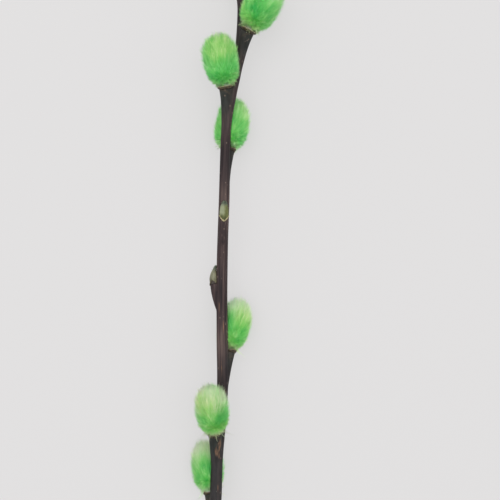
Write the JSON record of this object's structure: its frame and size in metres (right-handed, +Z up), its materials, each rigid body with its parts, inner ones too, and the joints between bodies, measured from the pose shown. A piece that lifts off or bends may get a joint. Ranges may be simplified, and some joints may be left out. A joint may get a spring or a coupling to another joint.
{
  "type": "willow branch",
  "caption": "Cut pussy willow branch that lies flat: a slender dark woody stem with furry egg-shaped catkins in vivid green, each on a flared spur, and small leaf buds.",
  "frame": {"origin": "on the surface that the branch lies on, below the middle of its box", "axes": "+Z up, +Y along the branch towards its tip"},
  "size_m": [0.0429, 0.4109, 0.0302],
  "materials": {
    "bark": "dark brown-grey bark with a slight sheen",
    "fur": "soft dyed plant fur, matte, paler at the hair tips",
    "scale": "dry papery bud scale, yellow-brown",
    "leaf_bud": "smooth olive bud scale, satin"
  },
  "bodies": {
    "root": {"stem": "bark", "catkin_01": "fur", "catkin_02": "fur", "catkin_03": "fur", "catkin_04": "fur", "catkin_05": "fur", "catkin_06": "fur", "catkin_07": "fur", "catkin_08": "fur", "catkin_09": "fur", "catkin_10": "fur", "catkin_11": "fur", "catkin_12": "fur", "catkin_13": "fur", "scale_collar_01": "scale", "scale_collar_02": "scale", "scale_collar_03": "scale", "scale_collar_04": "scale", "scale_collar_05": "scale", "scale_collar_06": "scale", "scale_collar_07": "scale", "scale_collar_08": "scale", "scale_collar_09": "scale", "scale_collar_10": "scale", "scale_collar_11": "scale", "scale_collar_12": "scale", "scale_collar_13": "scale", "leaf_bud_1": "leaf_bud", "leaf_bud_2": "leaf_bud", "leaf_bud_3": "leaf_bud"}
  },
  "joints": []
}
